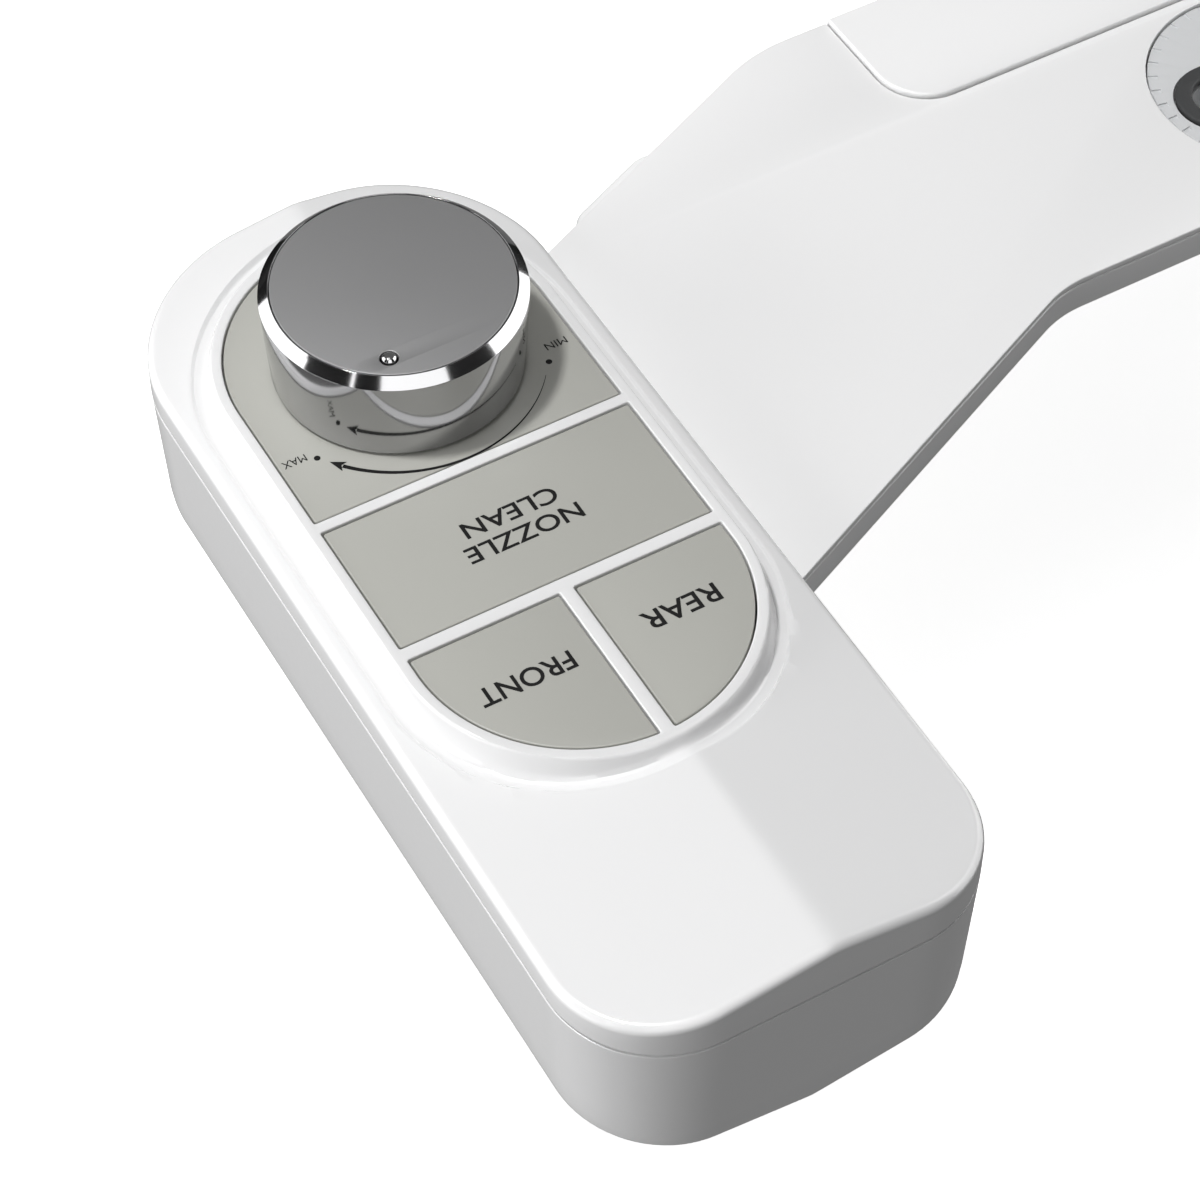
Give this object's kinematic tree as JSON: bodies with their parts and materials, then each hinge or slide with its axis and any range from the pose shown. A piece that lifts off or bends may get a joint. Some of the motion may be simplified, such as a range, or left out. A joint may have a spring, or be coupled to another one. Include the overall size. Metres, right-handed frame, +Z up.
{
  "type": "non-electric bidet attachment",
  "caption": "Slim mechanical bidet attachment: control box with pressure knob and push buttons, flat arm under the toilet seat, sliding spray nozzles.",
  "frame": {"origin": "underside of the flat plate, midway between the two seat-bolt slots", "axes": "+Z up, -Y towards the front of the toilet, -X towards the control box"},
  "size_m": [0.3675, 0.1644, 0.0886],
  "materials": {
    "white_shell": "glossy white ABS",
    "grey_panel": "satin warm grey",
    "chrome": "mirror chrome plate",
    "satin_metal": "satin grey plate",
    "steel": "plain stainless steel",
    "brass": "turned brass",
    "rubber": "black moulded rubber",
    "ceramic": "lapped ceramic",
    "inner_plastic": "pale grey acetal",
    "hose": "translucent white hose"
  },
  "bodies": {
    "frame": {"control_base": "white_shell", "control_cover": "white_shell", "arm_base": "white_shell", "arm_cover": "white_shell", "centre_cover": "white_shell", "dial_plate": "grey_panel", "valve_body": "inner_plastic", "selector_manifold": "inner_plastic", "nozzle_housing": "inner_plastic", "clean_spring": "steel", "front_spring": "steel", "rear_spring": "steel", "front_nozzle_spring": "steel", "rear_nozzle_spring": "steel", "guard_pin": "steel", "inlet_filter": "steel", "cover_screw_1": "steel", "cover_screw_2": "steel", "cover_screw_3": "steel", "cover_screw_4": "steel", "plate_screw_1": "steel", "plate_screw_2": "steel", "plate_screw_3": "steel", "plate_screw_4": "steel", "manifold_screw_1": "steel", "manifold_screw_2": "steel", "nozzle_screw_1": "steel", "nozzle_screw_2": "steel", "valve_bonnet": "brass", "inlet_nipple": "brass", "spindle_seal": "rubber", "fixed_disc": "ceramic", "front_hose": "hose", "rear_hose": "hose", "clean_hose": "hose", "supply_hose": "hose", "transfer_hose": "hose"},
    "knob": {"knob_body": "chrome", "knob_top_disc": "satin_metal", "knob_stud": "chrome", "knob_spindle": "brass", "knob_screw": "steel", "turning_disc": "ceramic"},
    "clean_key": {"clean_button": "grey_panel", "clean_plunger": "inner_plastic"},
    "front_key": {"front_button": "grey_panel", "front_plunger": "inner_plastic"},
    "rear_key": {"rear_button": "grey_panel", "rear_plunger": "inner_plastic"},
    "front_wand": {"front_nozzle": "inner_plastic", "front_nozzle_tip": "inner_plastic"},
    "rear_wand": {"rear_nozzle": "inner_plastic", "rear_nozzle_tip": "inner_plastic"},
    "guard": {"nozzle_guard": "inner_plastic"},
    "left_disc": {"mounting_disc_left": "inner_plastic", "bolt_washer_left": "rubber"},
    "right_disc": {"mounting_disc_right": "inner_plastic", "bolt_washer_right": "rubber"}
  },
  "joints": [
    {"name": "knob_turn", "type": "hinge", "parent": "frame", "child": "knob", "pos_m": [-0.23, 0.007, 0.034], "axis": [0, 0, 1], "range_deg": [-32, 91]},
    {"name": "clean_press", "type": "slide", "parent": "frame", "child": "clean_key", "axis": [0, 0, -1], "range_m": [0, 0.003], "stiffness_N_per_m": 400, "springref_m": -0.003, "deforming": ["clean_spring"]},
    {"name": "front_press", "type": "slide", "parent": "frame", "child": "front_key", "axis": [0, 0, -1], "range_m": [0, 0.003], "stiffness_N_per_m": 400, "springref_m": -0.003, "deforming": ["front_spring"]},
    {"name": "rear_press", "type": "slide", "parent": "frame", "child": "rear_key", "axis": [0, 0, -1], "range_m": [0, 0.003], "stiffness_N_per_m": 400, "springref_m": -0.003, "deforming": ["rear_spring"]},
    {"name": "front_nozzle_slide", "type": "slide", "parent": "frame", "child": "front_wand", "axis": [0, -0.8192, -0.5736], "range_m": [0, 0.036], "stiffness_N_per_m": 12, "springref_m": -0.02, "deforming": ["front_nozzle_spring"]},
    {"name": "rear_nozzle_slide", "type": "slide", "parent": "frame", "child": "rear_wand", "axis": [0, -0.8192, -0.5736], "range_m": [0, 0.036], "stiffness_N_per_m": 12, "springref_m": -0.02, "deforming": ["rear_nozzle_spring"]},
    {"name": "guard_swing", "type": "hinge", "parent": "frame", "child": "guard", "pos_m": [0, -0.06871, -0.03828], "axis": [-1, 0, 0], "range_deg": [0, 75]},
    {"name": "left_disc_turn", "type": "hinge", "parent": "frame", "child": "left_disc", "pos_m": [-0.07, 0, 0.003], "axis": [0, 0, 1], "continuous": true},
    {"name": "right_disc_turn", "type": "hinge", "parent": "frame", "child": "right_disc", "pos_m": [0.07, 0, 0.003], "axis": [0, 0, 1], "continuous": true}
  ]
}
